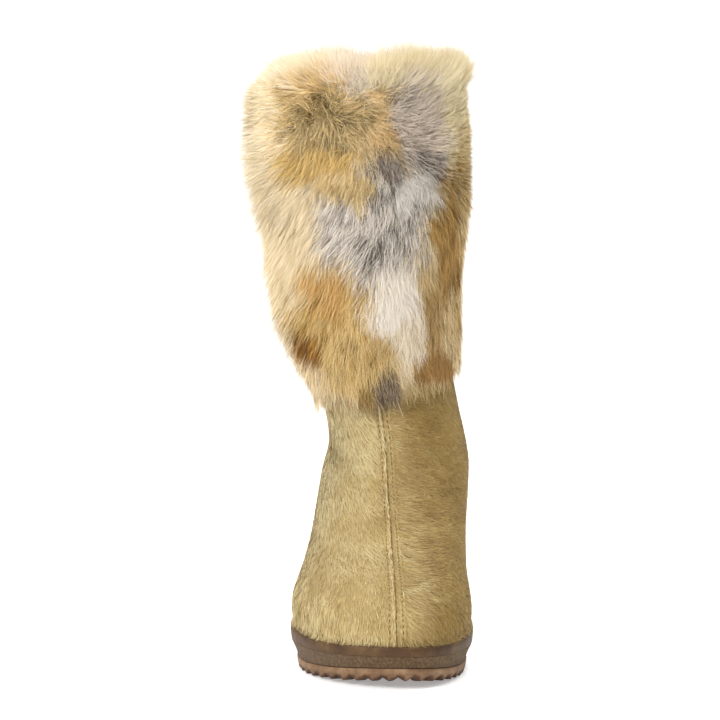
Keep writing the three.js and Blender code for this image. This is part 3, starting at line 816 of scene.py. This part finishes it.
def makeCoat():
    rng = np.random.default_rng(coat["seed"])
    count = coat["hairs"] // 1
    # roots spread evenly over the surface by keeping each with the chance of its area
    s = rng.random(count * 6)
    t = mix(*coat["rings"], rng.random(count * 6))
    _, outward, perTurn, perRing = upperFrame(s, t)
    area = perTurn * perRing
    kept = np.flatnonzero(rng.random(len(s)) < area / np.percentile(area, 97))[:count]
    s, t, outward, perTurn, perRing = [a[kept] for a in (s, t, outward, perTurn, perRing)]
    root, aside = upperFace(s, t), seamAside(s, t)
    inBand = np.abs(aside) < stitchAside(t) + 1.2
    onLine = (np.abs(aside) < 0.55) | (np.abs(np.abs(aside) - stitchAside(t)) < 0.7)
    covered = (root[:, 1] > 33) & (t < counterTop(np.clip(s, 0.2, 0.8)) - 0.05) & (np.abs(s - 0.5) < 0.3)
    use = ~(onLine & (rng.random(len(s)) < coat["thinned"])) & ~covered
    s, t, outward, perTurn, perRing, root, aside, inBand = [
        a[use] for a in (s, t, outward, perTurn, perRing, root, aside, inBand)]
    count = len(s)
    angle = np.radians(coatFlow(s, t, root) + rng.normal(0, coat["spread"], count))
    angle = np.where(inBand, angle * coat["seamLean"], angle)
    length = mix(*coat["length"], rng.random(count)) * mix(0.8, 1.15, noise(root, 12, 8))
    length = np.where(inBand, length * coat["seamLength"], length)
    # hairs stop short of the stitch rows
    room = np.abs(aside) - stitchAside(t) - 0.9
    towards = np.where(aside < 0, np.sin(angle), -np.sin(angle)) * length
    length = length * np.where((towards > room) & (room > 0), np.clip(room / np.maximum(towards, 1e-6), 0.25, 1), 1)
    # most hairs end just above the rand's top edge, and some hang over it
    low, high = upperFace(s, 0 * t), upperFace(s, 0 * t + 1)
    edge = (randHeight(1)(low[:, 1]) - low[:, 2]) / (high[:, 2] - low[:, 2])
    ends = np.where(rng.random(count) < coat["overRand"], -0.08, 0.05)
    drop = np.maximum((t - edge - ends) * perRing, 1.2)
    length = np.minimum(length, drop / np.maximum(np.cos(angle), 0.2))
    stepS = np.sin(angle) * length / perTurn
    stepT = -np.cos(angle) * length / perRing
    loft = mix(*coat["loft"], rng.random(count))
    path = []
    for share in (0, 0.5, 1):
        ring = t + stepT * share
        over = coat["randClear"] * (1 - smoothStep(0.02, 0.26, ring - edge)) * min(1, share * 2.4)
        lift = 0.05 + (loft * share ** 0.8) * np.where(inBand, 0.5, 1)
        path.append(skinPoint(s + stepS * share, np.maximum(ring, edge - 0.03), np.maximum(lift, over)))
    path = np.stack(path, 1)
    run = unit(path[:, 2] - path[:, 0])
    roll = rng.normal(0, 0.35, count)[:, None]
    side = unit(np.cross(run, outward))
    side = unit(turnedBy(roll, side, outward))
    facing = unit(outward + 0.32 * side * rng.normal(0, 1, count)[:, None] - 0.2 * run)
    shade = coatShade(rng, s, t, root, aside)
    dark, middle, light, pale = [linear(coat[key]) for key in ("dark", "middle", "light", "tip")]
    body = np.where(shade < 0.5, mix(dark, middle, shade * 2), mix(middle, light, shade * 2 - 1))
    # painted shade: the medial half, where the coat lies across, is painted darker and warmer
    turn = signedTurn(s)
    medialShadeShare = (smoothStep(0, 0.06, turn) * smoothStep(0.48, 0.26, turn))[:, None]
    body = body * mix(np.ones(3), np.array(coat["medialPaintedShade"]), medialShadeShare)
    colours = np.stack([body * coat["rootShade"], body, mix(body, pale, coat["tipShare"])], 1)
    width = coat["width"] * mix(0.7, 1.2, rng.random(count))
    side, facing = [np.repeat(a[:, None], 3, 1) for a in (side, facing)]
    return makeHairs("calfCoat", path, width, side, facing, colours, calfHair)


calfCoat = makeCoat()


# Fur cuff

fur = {
    "depth": 22, "gap": 1.7, "ground": 0.5, "seed": 4,
    "tuft": (-41, 320, 38),  # rosette on the front: x, z and radius
    "hairs": 190000, "clumps": 9500, "length": (11, 20), "rimLength": (18, 33), "width": 0.32, "brighten": 1.26,
    "guard": ("#efe4d2", 0.5),  # colour of the loose long hairs, and its share
    "rimShare": 0.19, "topShare": 0.2, "strayShare": 0.1,  # of the hairs: on the rim, gathered near it, and loose
    "wall": (150, 13, 328),  # lowest roots, how much higher they are on the medial side, and the top
    "rootSunk": 0.6, "crownRise": 4.5,  # roots under the pelt's face, and the rim's rise, in mm
    "swirl": ((26, 41, 46), (8, 42, 46)), "tuftSwirl": (7, 47, 72),  # size in mm, seed, and span in degrees or mm
    "spread": 17, "fanSpread": 18, "tuftSpread": 14,  # degrees between neighbours
    "sideLength": 0.45, "hemWave": 15, "hemSpread": 6,  # longer on the outer side; the fringe's unevenness in mm
    "rimTurn": (-12, 62), "tuftTurn": (28, 74),  # degrees from the middle of the rim or tuft to its edge
    "pull": (0.12, 0.55), "wisp": 0.6,  # how far the tips gather in locks, and stray from them in mm
    "rootFade": ((0.42, 0.86, 1.18), (0.84, 0.97, 1.08)),  # root, middle and tip in dark and in pale hair
    "frontTurns": (0.167, 0.834),
    "base": ("#dcc8a0", "#c6aa78", 0.35), "baseSlant": -6,
    "backAxis": (58, -34),  # y where the back's patches begin, and how far they lie aside
    # share of the depth by ring
    "pile": ((8.2, 0.14), (8.7, 0.44), (9.3, 0.66), (10.2, 0.8), (11.3, 0.94), (12, 0.84)),
    # heights and rings
    "ringHeights": ((128, 141, 170, 213.5, 261, 328), (7.6, 8, 9, 10, 11, 12)),
    # towards the top: rings, degrees from upright, and how much longer the outer side's hairs are
    "fan": ((10.4, 11, 11.5, 12), (150, 130, 100, 66)), "fanGrowth": ((10.4, 11, 11.6, 12), (0.6, 0.62, 0.3, -0.1)),
    # lower end of the fringe: x and height
    "hem": ((-54, 143), (-46, 136), (-36, 132), (-25, 131), (-8, 137), (8, 141), (22, 147), (36, 158), (46, 171)),
    # pelt: ring, height above it, share of the ground's depth
    "pelt": [(8.3, 0, 0.0), (8.34, 0, 0.66), (8.6, 0, 0.9), (9, 0, 0.98), (9.5, 0, 1), (10, 0, 1), (10.5, 0, 1),
             (11, 0, 1), (11.5, 0, 0.98), (11.8, 0, 0.94), (12, 1, 0.84), (12, 4, 0.58), (12, 5.5, 0.22),
             (12, 5, 0.0)],
    "peltBack": (12, 11.5, 11, 10.5, 10, 9.5, 9, 8.6), "peltHem": (8.3, 0.45), "peltPaintedShade": 0.55,
    # patches seen from the front: x, z, half width, half height, colour, second colour, its share, slant in degrees
    "patches": [
        (-60, 228, 30, 80, "#dfcda8", "#d6c199", 0.36, -6),  # pale side
        (-78, 290, 22, 50, "#d8c8a8", "#cfbe98", 0.34, -10),  # cream edge
        (36, 250, 26, 100, "#d2bd90", "#b79a66", 0.4, -12),  # gold side
        (-60, 345, 30, 16, "#eadec4", "#ddcfae", 0.3, -14),  # cream rim
        (-20, 340, 20, 16, "#eee2d0", "#d6c8b4", 0.36, -4),
        (20, 342, 30, 20, "#fff3d0", "#fae6b2", 0.3, 6),
        (40, 310, 10, 30, "#f8ebc6", "#e8d6a6", 0.34, 10),
        (-41, 306, 30, 29, "#d6b880", "#a58b58", 0.46, -4),  # olive tuft
        (-39, 306, 26, 21, "#cab17e", "#95815a", 0.5, -4),
        (-44, 281, 24, 11, "#cdb072", "#b89552", 0.42, -4),
        (-37, 261, 22, 9, "#ead9b8", "#d8c194", 0.34, -14),
        (-2, 302, 8, 22, "#f4d8a2", "#d8b47a", 0.36, 4),  # gold streak
        (19, 306, 14, 28, "#f6e6d4", "#b8aa9c", 0.42, 12),  # mauve
        (27, 284, 9, 8, "#ccc0b3", "#82766a", 0.5, 10),
        (-10, 244, 30, 32, "#d3cabf", "#857b71", 0.43, -26),  # grey
        (4, 262, 19, 20, "#d2c9be", "#71675d", 0.45, -16),
        (-12, 234, 12, 11, "#d0c7bb", "#675e55", 0.5, -26),
        (-27, 268, 16, 9, "#d8c08e", "#bb9f68", 0.42, -10),  # gold above the grey
        (19, 270, 9, 11, "#fff9f0", "#e6ded3", 0.26, -8),  # white spot
        (0, 284, 8, 7, "#b3a496", "#6b5e51", 0.52, -6),  # dark spot
        (36, 238, 9, 36, "#b08c50", "#8e6b39", 0.42, -14),  # gold streak of the medial side, partly darkened as painted shade
        (47, 246, 7, 60, "#d0ba8a", "#ba9c66", 0.34, -8),
        (-32, 192, 26, 28, "#b59252", "#d0b67e", 0.45, 2),  # orange
        (-36, 207, 13, 12, "#b98e50", "#d2b176", 0.42, 6),
        (-16, 166, 22, 18, "#ab8a50", "#cab27e", 0.48, 2),
        (6, 201, 18, 19, "#fff6e8", "#ece0cc", 0.3, -4),  # white blaze
        (15, 178, 8, 14, "#ede2ce", "#ccb690", 0.4, -2),
        (25, 207, 7, 15, "#cdb688", "#a98c58", 0.44, -6),
        (27, 190, 10, 22, "#b69a68", "#957544", 0.44, -6),
        (-51, 173, 9, 10, "#6a4413", "#ad7f3c", 0.42, -4),  # brown spot
        (-30, 138, 11, 10, "#c4b48f", "#8c734b", 0.48, 0),  # fringe
        (-13, 147, 8, 9, "#a4864f", "#6f5935", 0.5, 2),
        (2, 151, 10, 10, "#9a8568", "#54473a", 0.55, 4),
        (18, 150, 9, 9, "#b9a274", "#8a6e40", 0.45, -2),
        (31, 163, 9, 7, "#ad8650", "#876335", 0.45, 8),
    ],
}


def pileDepth(s, t):
    # deepest on the outer side, with a slow wave round the leg
    sideShare = 0.8 - 0.4 * np.sin(2 * np.pi * s) + 0.04 * np.sin(10 * np.pi * s)
    return np.interp(t, *np.array(fur["pile"]).T) * fur["depth"] * sideShare


def ringAt(height):
    return np.interp(height, *fur["ringHeights"])


def patchColour(points, rng, lock=None):
    # colour and slant of the fur at points, from the patches seen from the front, or mirrored on the back;
    # hairs of one lock mostly share a tone
    backY, backX = fur["backAxis"]
    front = points[:, 1] + sway(points, 20, 33, 44) < backY
    x = np.where(front, points[:, 0], -points[:, 0] + backX) + sway(points, 14, 31, 14)
    z = points[:, 2] + sway(points, 14, 32, 14)
    pick = rng.random(len(points))
    pick = pick if lock is None else mix(pick, lock, 0.6)

    def tone(main, second, share):
        return np.where((pick < share)[:, None], linear(second), linear(main))

    colour = tone(*fur["base"])
    slant = np.full(len(points), float(fur["baseSlant"]))
    for cx, cz, rx, rz, main, second, share, lean in fur["patches"]:
        q = np.hypot((x - cx) / rx, (z - cz) / rz)
        inside = rng.random(len(points)) < smoothStep(1.4, 0.7, q)
        colour = np.where(inside[:, None], tone(main, second, share), colour)
        slant = mix(slant, lean, smoothStep(1.4, 0.8, q))
    return colour, slant


def makePelt():
    turns = np.arange(160) / 160
    hem, medialHem = fur["peltHem"]
    rings = []
    for t, above, share in fur["pelt"] + [(t, 0.0, 0.0) for t in fur["peltBack"]]:
        ringT = np.maximum(t, hem + medialHem * sideShares(turns)[0])
        lift = fur["gap"] + share * fur["ground"] * pileDepth(turns, ringT)
        ring = upperFace(turns, ringT) + upperFrame(turns, ringT)[1] * lift[:, None]
        ring[:, 2] += above
        rings.append(ring)
    points = np.concatenate(rings)
    piece = makeMesh("furPelt", points, gridFaces(len(rings), len(turns), closeRows=True), [pelt])
    tint, _ = patchColour(points, np.random.default_rng(2))
    # the pelt takes the fur's colours, darkened as painted shade deep in the pile
    paint(piece, "peltColour", tint * fur["peltPaintedShade"])
    return piece


def growFur(rng, count):
    # roots: the wall of the cuff, more of them near its top, and a share that stands on the rim
    rim = rng.random(count) < fur["rimShare"]
    s = rng.random(count)
    medial, lateral = sideShares(s)
    foot, medialFoot, top = fur["wall"]
    climb = rng.random(count) ** np.where(rng.random(count) < fur["topShare"], 0.2, 1)
    t = np.where(rim, lastRing, ringAt(mix(foot + medialFoot * medial, top, climb)))
    around, outward, _, _ = upperFrame(s, t)
    depth = pileDepth(s, t)
    across = np.where(rim, rng.random(count), 1)
    root = upperFace(s, t) + outward * (fur["gap"] + across * fur["ground"] * depth - fur["rootSunk"])[:, None]
    root[:, 2] += np.where(rim, fur["crownRise"] * (1 - across ** 2), 0)
    _, slant = patchColour(root + np.array([0, 0, -9]), rng)
    swirl = sum(sway(root, *row) for row in fur["swirl"])
    angle = np.radians(slant + swirl + rng.normal(0, fur["spread"], count))
    fall = np.array([0, 0, -1.0])
    down = unit(fall - outward * (outward @ fall)[:, None])
    lay = turnedBy(angle[:, None], down, around)
    length = mix(*fur["length"], rng.random(count)) * mix(0.82, 1.15, noise(root, 14, 43))
    length = length * (1 + fur["sideLength"] * lateral * smoothStep(9.2, 10, t) * smoothStep(11, 10.3, t))
    # the fringe ends at an uneven line
    flat = root * np.array([1, 1, 0])
    uneven = noise(flat, 12, 44) + noise(flat, 4, 46) - 1
    hem = np.interp(root[:, 0], *np.array(fur["hem"]).T) + fur["hemWave"] * uneven
    room = (root[:, 2] - hem) / np.maximum(-lay[:, 2], 0.4) + rng.normal(0, fur["hemSpread"], count)
    length = np.clip(length, 5, np.maximum(room, 5))
    # each tip reaches the pile's face, and the strays stand beyond it
    tipRing = ringAt(root[:, 2] + lay[:, 2] * length * 0.7)
    reach = pileDepth(s, tipRing) * mix(0.72, 1.12, rng.random(count)) * mix(0.85, 1.15, noise(root, 16, 45))
    fuller = 0.32 * smoothStep(8.9, 9.8, t) + 0.5 * bell(t - 9.95, 0.5)
    reach = reach * (1 + fuller * lateral - mix(0.15, 0.28, smoothStep(10.8, 11.6, t)) * medial)
    stray = np.where(rng.random(count) < fur["strayShare"], 0.6 + rng.random(count), 0)
    reach = reach * (1 + 0.32 * stray) + 1
    length = length * (1 + 0.22 * stray)
    rise = np.clip(reach - fur["ground"] * depth, -0.3 * length, 0.82 * length)
    endOut = np.clip(0.55 * rise / length, -0.3, 0.5)
    startOut = np.clip(2 * rise / length - endOut, -0.2, 0.95)
    begin = lay * np.sqrt(1 - startOut ** 2)[:, None] + outward * startOut[:, None]
    end = unit(lay + outward * endOut[:, None])
    # towards the top the pile turns out from the wall and, on the rim, up: one fan with no parting
    turned = np.where(rim, mix(*fur["rimTurn"], across), np.interp(t, *fur["fan"]))
    turned = turned * np.where(rim, 1 - 0.85 * medial, 1 - 0.75 * medial * smoothStep(11.3, 12, t))
    turned = np.radians(turned + rng.normal(0, fur["fanSpread"], count))
    upright = np.where(rim, 1, smoothStep(10.5, 11.5, t))
    aside = around * (rng.normal(0, 0.28, count) + 0.45 * np.sin(angle))[:, None]
    fan = [turnedBy(a[:, None], -down, outward) + aside for a in (turned, turned * 1.08 + 0.3 - 0.34 * medial)]
    begin, end = [unit(mix(lain, fanned, upright[:, None])) for lain, fanned in zip((begin, end), fan)]
    # one tuft opens like a rosette: its hairs lean away from its middle on every side
    tuftX, tuftZ, tuftSize = fur["tuft"]
    size, seed, span = fur["tuftSwirl"]
    wander = np.stack([sway(root, size, seed + k, span) for k in range(3)], -1)
    away = root + wander + rng.normal(0, 8, root.shape) - np.array([tuftX, 0, tuftZ])
    away[:, 0] *= mix(0.3, 1, smoothStep(-26, 4, away[:, 2]))
    away = away - outward * np.sum(away * outward, -1, keepdims=True)
    apart = np.hypot(root[:, 0] - tuftX, root[:, 2] - tuftZ) / tuftSize
    held = smoothStep(1.2, 0.4, apart) * (root[:, 1] < 40) * ~rim
    spread = np.radians(mix(*fur["tuftTurn"], np.clip(apart, 0, 1)) + rng.normal(0, fur["tuftSpread"], count))
    opened = [turnedBy(a[:, None], outward, unit(away)) + aside * 0.6 for a in (spread, spread + 0.45)]
    begin, end = [unit(mix(lain, leant, held[:, None])) for lain, leant in zip((begin, end), opened)]
    # the rim stands in two humps, lower over the middle of the front and at the outer corner
    hump = 1 - 0.24 * bell(root[:, 0] + 14, 14) - 0.38 * lateral ** 2 - 0.2 * medial
    tall = mix(*fur["rimLength"], rng.random(count)) * hump * mix(1, 0.72, across) * (1 + 0.12 * stray)
    thin = mix(0.35, 1, np.clip((depth - 6) / 10, 0, 1)) * (1 - 0.2 * medial)
    topLength = thin * (1 + lateral * np.interp(t, *fur["fanGrowth"]))
    length = np.where(rim, tall, length * mix(1, topLength, upright))
    return {"root": root, "begin": begin, "end": end, "length": length, "outward": outward, "s": s, "stray": stray,
            "crown": np.where(rim, 1, smoothStep(11, 11.8, t))}


def hairPath(grown, shares):
    u = shares[None, :, None]
    return grown["root"][:, None] + grown["length"][:, None, None] * (
        grown["begin"][:, None] * (u - u * u / 2) + grown["end"][:, None] * (u * u / 2))


def makeFur():
    rng = np.random.default_rng(fur["seed"])
    count = fur["hairs"] // 1
    shares = np.array([0, 0.5, 1])
    hairs = growFur(rng, count)
    guides = growFur(rng, fur["clumps"])
    path = hairPath(hairs, shares)
    guidePath = hairPath(guides, shares)
    locks = len(guides["root"])
    tree = kdtree.KDTree(locks)
    for i, place in enumerate(guides["root"]):
        tree.insert(place, i)
    tree.balance()
    owner = np.array([tree.find(place)[1] for place in hairs["root"]])
    # tips gather in small locks, less in the fringe, on the outer side and in the loose hairs
    loose = hairs["stray"] > 0
    pull = mix(*fur["pull"], rng.random(locks))[owner] * mix(0.55, 1, rng.random(count))
    pull = pull * mix(0.4, 1, smoothStep(146, 164, path[:, 0, 2]))
    pull = pull * (1 - 0.5 * sideShares(hairs["s"])[1]) * np.where(loose, 0.3, 1)
    path = mix(path, guidePath[owner], pull[:, None, None] * (shares ** 1.3)[None, :, None])
    path = path + rng.normal(0, fur["wisp"], path.shape) * shares[None, :, None]
    colour, _ = patchColour((path[:, 1] + path[:, 2]) / 2, rng, rng.random(locks)[owner])
    bright = mix(0.82, 1.16, rng.random(count)) * mix(0.86, 1.12, rng.random(locks))[owner]
    guard, guardShare = fur["guard"]
    greyer = smoothStep(0.3, 0.7, colour.min(1) / colour.max(1))  # the gold fur keeps its colour
    colour = mix(colour, linear(guard), (loose * guardShare * greyer)[:, None])
    colour = colour * (bright * fur["brighten"])[:, None]
    # dark at the root and pale at the tip, less so on the crown and in pale hair
    even = np.clip(hairs["crown"] + 1.9 * (colour.mean(1) - 0.35), 0, 1)[:, None]
    fade = mix(*np.array(fur["rootFade"]), even)
    colours = colour[:, None] * fade[..., None]
    colours = colours * np.minimum(1, 0.93 / colours.max(-1, keepdims=True))
    run = unit(path[:, 1:] - path[:, :-1])
    run = np.concatenate((run, run[:, -1:]), 1)
    outward = np.repeat(hairs["outward"][:, None], len(shares), 1)
    across = unit(np.cross(run, outward))
    lift = unit(np.cross(across, run))
    roll = rng.normal(0, 0.5, count)[:, None, None]
    side = turnedBy(roll, across, lift)
    facing = unit(outward * 0.8 + lift * 0.5 + across * rng.normal(0, 0.4, count)[:, None, None])
    width = fur["width"] * mix(0.7, 1.3, rng.random(count)) * np.where(loose, 0.75, 1)
    turn = hairs["s"]
    right, left = fur["frontTurns"]
    sectors = {"furFront": (turn < right) | (turn >= left), "furMedial": (turn >= right) & (turn < 0.5),
               "furLateral": (turn >= 0.5) & (turn < left)}
    return [makeHairs(name, *[a[chosen] for a in (path, width, side, facing, colours)], furHair)
            for name, chosen in sectors.items()]


furPelt = makePelt()
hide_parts("fur_cuff")
for part in makeFur():
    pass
print("fur made")


# Studio

studio = {
    "floor": "#f4f3f1", "glow": 0.32, "air": 0.4,
    "sweep": (-4, 1.6, 1.2, 5, 5),  # front edge, start of the bend, its radius, height and half width, in metres
    "camera": (51.5, -1834, 315), "tilt": 4.5, "turn": 2.12, "lens": 157.7,
    "aim": (0, 0, 0.16),  # what the lights point at, in metres
    # place in metres, size, watts
    "lights": [
        ("key", (-1.45, -1.15, 1.3), 1.3, 36),
        ("fill", (0.3, -1.9, 1.3), 1.4, 8),
        ("top", (0.15, 0.2, 1.75), 1.4, 36),
    ],
}


def makeStudio():
    front, bend, radius, height, half = studio["sweep"]
    angles = np.linspace(0, np.pi / 2, 14)[1:]
    y = np.concatenate((np.linspace(front, bend, 8), bend + radius * np.sin(angles), [bend + radius]))
    z = np.concatenate((np.zeros(8), radius - radius * np.cos(angles), [height]))
    points = [(x, b, c) for b, c in zip(y, z) for x in (-half, half)]
    mesh = bpy.data.meshes.new("studioSweep")
    mesh.from_pydata(points, [], [(2 * i, 2 * i + 1, 2 * i + 3, 2 * i + 2) for i in range(len(y) - 1)])
    mesh.polygons.foreach_set("use_smooth", [True] * len(mesh.polygons))
    # matt painted board, pale and even
    mesh.materials.append(makeMaterial("mattPaintedBoard", {
        "Base Color": rgba(studio["floor"]), "Roughness": 0.9, "Specular IOR Level": 0.1,
        "Emission Color": (1, 1, 1, 1), "Emission Strength": studio["glow"]}))
    sweepPiece = addPiece("studioSweep", mesh)
    world = bpy.data.worlds.new("softRoom")
    bpy.context.scene.world = world
    world.use_nodes = True
    room = world.node_tree.nodes["Background"].inputs
    room["Color"].default_value = (1, 1, 1, 1)
    room["Strength"].default_value = studio["air"]
    for name, place, size, watts in studio["lights"]:
        lamp = bpy.data.lights.new(name, "AREA")
        lamp.size = size
        lamp.energy = watts
        holder = addPiece(name, lamp)
        holder.location = place
        holder.rotation_euler = (Vector(studio["aim"]) - Vector(place)).to_track_quat("-Z", "Y").to_euler()
    lens = bpy.data.cameras.new("camera")
    lens.lens = studio["lens"]
    lens.clip_end = 20
    camera = addPiece("camera", lens)
    camera.location = ((np.array(studio["camera"]) + frameShift) / 1000).tolist()
    camera.rotation_euler = (math.radians(90 - studio["tilt"]), 0, math.radians(studio["turn"]))
    bpy.context.scene.camera = camera
    bpy.context.scene.view_settings.view_transform = "Standard"


makeStudio()
print("studio made")

bpy.context.view_layer.update()
